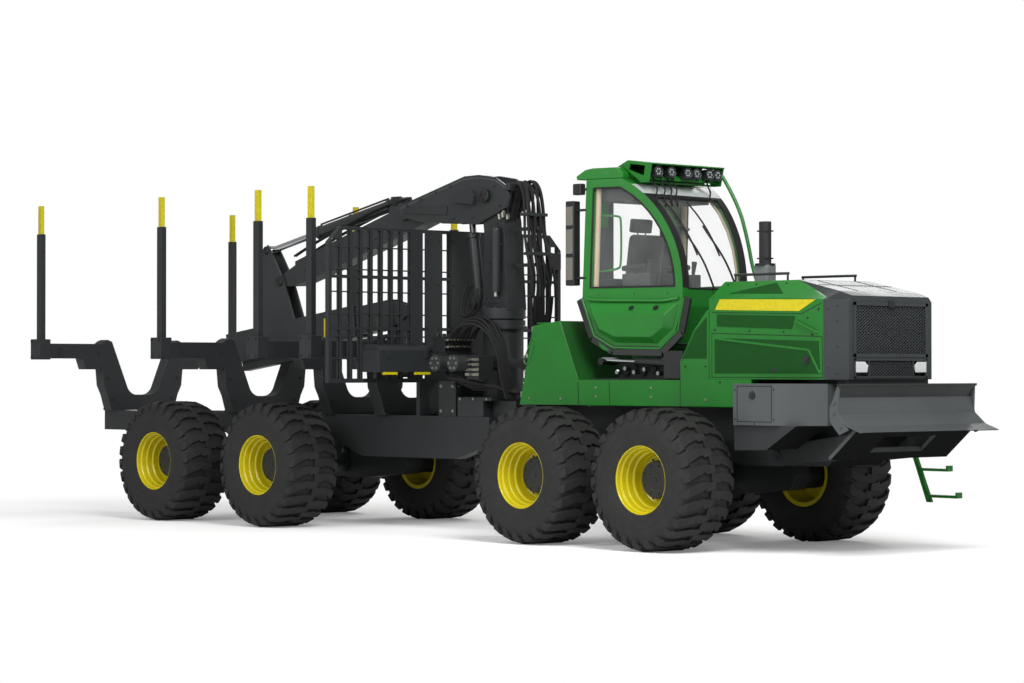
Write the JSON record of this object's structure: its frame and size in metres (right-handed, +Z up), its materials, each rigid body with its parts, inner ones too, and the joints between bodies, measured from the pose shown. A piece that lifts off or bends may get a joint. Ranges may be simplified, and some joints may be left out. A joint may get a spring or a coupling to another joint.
{
  "type": "forestry forwarder",
  "caption": "Articulated log-carrying forestry machine with bogie wheels, staked load bunks, folding loader crane, glazed cab, hood and front blade.",
  "frame": {"origin": "on the ground under the centre of the machine's bounding box", "axes": "+X forward to the blade, +Y to the machine's left, +Z up"},
  "size_m": [13.43, 3.6, 4.04],
  "materials": {
    "green_paint": "satin enamel on sheet steel",
    "dark_paint": "semi-gloss dark grey paint on welded steel",
    "grey_paint": "satin mid-grey paint on steel plate",
    "yellow_paint": "gloss yellow enamel on pressed steel",
    "tyre_rubber": "matt black moulded rubber",
    "window_glass": "clear safety glazing",
    "seat_fabric": "charcoal woven seat cover",
    "engine_iron": "plain cast block",
    "exhaust_steel": "matt heatproof black",
    "black_plastic": "black moulded plastic"
  },
  "bodies": {
    "front_chassis": {"front_frame": "dark_paint", "front_axle": "dark_paint", "engine_block": "engine_iron", "hood": "green_paint", "nose": "grey_paint", "grille": "dark_paint", "exhaust_stack": "exhaust_steel", "hood_rails": "dark_paint", "side_panels": "green_paint", "rear_box": "green_paint", "step_boxes": "grey_paint", "cab_base": "green_paint", "cab_shell": "green_paint", "cab_roof": "green_paint", "cab_windows": "window_glass", "cab_seat": "seat_fabric", "light_bar": "green_paint", "work_lamps": "black_plastic"},
    "blade": {"blade": "grey_paint"},
    "cab_door": {"cab_door": "green_paint", "cab_door_glass": "window_glass"},
    "ladder": {"ladder": "green_paint"},
    "centre_link": {"centre_link": "dark_paint"},
    "rear_chassis": {"rear_frame": "dark_paint", "rear_axle": "dark_paint", "bunks": "dark_paint", "stakes": "dark_paint", "load_gate": "dark_paint", "tool_box": "dark_paint", "hydraulic_unit": "dark_paint", "crane_base": "dark_paint"},
    "crane_pillar": {"crane_pillar": "dark_paint"},
    "boom": {"boom": "dark_paint"},
    "jib": {"jib": "dark_paint"},
    "extension": {"extension": "dark_paint"},
    "grapple": {"grapple": "dark_paint"},
    "lift_barrel": {"lift_barrel": "dark_paint"},
    "lift_rod": {"lift_rod": "dark_paint"},
    "jib_barrel": {"jib_barrel": "dark_paint"},
    "jib_rod": {"jib_rod": "dark_paint"},
    "front_left_bogie": {"front_left_bogie": "dark_paint"},
    "front_right_bogie": {"front_right_bogie": "dark_paint"},
    "rear_left_bogie": {"rear_left_bogie": "dark_paint"},
    "rear_right_bogie": {"rear_right_bogie": "dark_paint"},
    "front_leading_left_wheel": {"front_leading_left_tyre": "tyre_rubber", "front_leading_left_rim": "yellow_paint"},
    "front_leading_right_wheel": {"front_leading_right_tyre": "tyre_rubber", "front_leading_right_rim": "yellow_paint"},
    "front_trailing_left_wheel": {"front_trailing_left_tyre": "tyre_rubber", "front_trailing_left_rim": "yellow_paint"},
    "front_trailing_right_wheel": {"front_trailing_right_tyre": "tyre_rubber", "front_trailing_right_rim": "yellow_paint"},
    "rear_leading_left_wheel": {"rear_leading_left_tyre": "tyre_rubber", "rear_leading_left_rim": "yellow_paint"},
    "rear_leading_right_wheel": {"rear_leading_right_tyre": "tyre_rubber", "rear_leading_right_rim": "yellow_paint"},
    "rear_trailing_left_wheel": {"rear_trailing_left_tyre": "tyre_rubber", "rear_trailing_left_rim": "yellow_paint"},
    "rear_trailing_right_wheel": {"rear_trailing_right_tyre": "tyre_rubber", "rear_trailing_right_rim": "yellow_paint"}
  },
  "joints": [
    {"name": "steer", "type": "hinge", "parent": "front_chassis", "child": "centre_link", "pos_m": [1.345, 0, 1.23], "axis": [0, 0, 1], "range_deg": [-40, 40]},
    {"name": "frame_roll", "type": "hinge", "parent": "centre_link", "child": "rear_chassis", "pos_m": [1.345, 0, 1.23], "axis": [1, 0, 0], "range_deg": [-15, 15]},
    {"name": "front_left_bogie_tilt", "type": "hinge", "parent": "front_chassis", "child": "front_left_bogie", "pos_m": [3.372, 0.725, 0.722], "axis": [0, 1, 0], "range_deg": [-15, 15]},
    {"name": "front_right_bogie_tilt", "type": "hinge", "parent": "front_chassis", "child": "front_right_bogie", "pos_m": [3.372, -0.725, 0.722], "axis": [0, 1, 0], "range_deg": [-15, 15]},
    {"name": "rear_left_bogie_tilt", "type": "hinge", "parent": "rear_chassis", "child": "rear_left_bogie", "pos_m": [-2.948, 0.725, 0.722], "axis": [0, 1, 0], "range_deg": [-15, 15]},
    {"name": "rear_right_bogie_tilt", "type": "hinge", "parent": "rear_chassis", "child": "rear_right_bogie", "pos_m": [-2.948, -0.725, 0.722], "axis": [0, 1, 0], "range_deg": [-15, 15]},
    {"name": "front_leading_left_wheel_spin", "type": "hinge", "parent": "front_left_bogie", "child": "front_leading_left_wheel", "pos_m": [4.245, 1.23, 0.722], "axis": [0, 1, 0], "continuous": true},
    {"name": "front_leading_right_wheel_spin", "type": "hinge", "parent": "front_right_bogie", "child": "front_leading_right_wheel", "pos_m": [4.245, -1.23, 0.722], "axis": [0, 1, 0], "continuous": true},
    {"name": "front_trailing_left_wheel_spin", "type": "hinge", "parent": "front_left_bogie", "child": "front_trailing_left_wheel", "pos_m": [2.499, 1.23, 0.722], "axis": [0, 1, 0], "continuous": true},
    {"name": "front_trailing_right_wheel_spin", "type": "hinge", "parent": "front_right_bogie", "child": "front_trailing_right_wheel", "pos_m": [2.499, -1.23, 0.722], "axis": [0, 1, 0], "continuous": true},
    {"name": "rear_leading_left_wheel_spin", "type": "hinge", "parent": "rear_left_bogie", "child": "rear_leading_left_wheel", "pos_m": [-1.9335, 1.23, 0.722], "axis": [0, 1, 0], "continuous": true},
    {"name": "rear_leading_right_wheel_spin", "type": "hinge", "parent": "rear_right_bogie", "child": "rear_leading_right_wheel", "pos_m": [-1.9335, -1.23, 0.722], "axis": [0, 1, 0], "continuous": true},
    {"name": "rear_trailing_left_wheel_spin", "type": "hinge", "parent": "rear_left_bogie", "child": "rear_trailing_left_wheel", "pos_m": [-3.9625, 1.23, 0.722], "axis": [0, 1, 0], "continuous": true},
    {"name": "rear_trailing_right_wheel_spin", "type": "hinge", "parent": "rear_right_bogie", "child": "rear_trailing_right_wheel", "pos_m": [-3.9625, -1.23, 0.722], "axis": [0, 1, 0], "continuous": true},
    {"name": "blade_lift", "type": "hinge", "parent": "front_chassis", "child": "blade", "pos_m": [5.195, 0, 0.98], "axis": [0, 1, 0], "range_deg": [0, 44]},
    {"name": "cab_door_swing", "type": "hinge", "parent": "front_chassis", "child": "cab_door", "pos_m": [2.66, 0.76083, 3], "axis": [0, 0, 1], "range_deg": [0, 85]},
    {"name": "ladder_fold", "type": "hinge", "parent": "front_chassis", "child": "ladder", "pos_m": [5.645, 1.14, 1], "axis": [1, 0, 0], "range_deg": [0, 100]},
    {"name": "crane_slew", "type": "hinge", "parent": "rear_chassis", "child": "crane_pillar", "pos_m": [0.595, 0, 2.4], "axis": [0, 0, 1], "range_deg": [-2.5, 2.5]},
    {"name": "boom_lift", "type": "hinge", "parent": "crane_pillar", "child": "boom", "pos_m": [0.495, 0, 3.79], "axis": [0, 1, 0], "range_deg": [0, 75]},
    {"name": "jib_fold", "type": "hinge", "parent": "boom", "child": "jib", "pos_m": [-3.345, 0, 2.91], "axis": [0, 1, 0], "range_deg": [0, 100]},
    {"name": "extension_slide", "type": "slide", "parent": "jib", "child": "extension", "axis": [0.9914, 0, 0.1305], "range_m": [0, 1.2]},
    {"name": "grapple_hang", "type": "hinge", "parent": "extension", "child": "grapple", "pos_m": [-1.03366, 0, 2.51726], "axis": [0, 1, 0], "range_deg": [-200, 20]},
    {"name": "lift_barrel_tilt", "type": "hinge", "parent": "crane_pillar", "child": "lift_barrel", "pos_m": [0.215, 0, 2.57], "axis": [0, 1, 0], "range_deg": [-10, 15]},
    {"name": "lift_rod_slide", "type": "slide", "parent": "lift_barrel", "child": "lift_rod", "axis": [-0.1498, 0, 0.9887], "range_m": [0, 0.6]},
    {"name": "jib_barrel_tilt", "type": "hinge", "parent": "boom", "child": "jib_barrel", "pos_m": [-1.165, 0, 3.8], "axis": [0, 1, 0], "range_deg": [-10, 10]},
    {"name": "jib_rod_slide", "type": "slide", "parent": "jib_barrel", "child": "jib_rod", "axis": [-0.9796, 0, -0.2007], "range_m": [-0.5, 0]}
  ],
  "couplings": [
    {"joint": "jib_fold", "follows": "boom_lift", "ratio": 0.8},
    {"joint": "extension_slide", "follows": "boom_lift", "m_per_rad": 0.38},
    {"joint": "grapple_hang", "follows": "boom_lift", "ratio": -1.8},
    {"joint": "lift_barrel_tilt", "follows": "boom_lift", "ratio": 0.06},
    {"joint": "lift_rod_slide", "follows": "boom_lift", "m_per_rad": 0.44},
    {"joint": "jib_barrel_tilt", "follows": "boom_lift", "ratio": -0.012},
    {"joint": "jib_rod_slide", "follows": "boom_lift", "m_per_rad": -0.354}
  ]
}
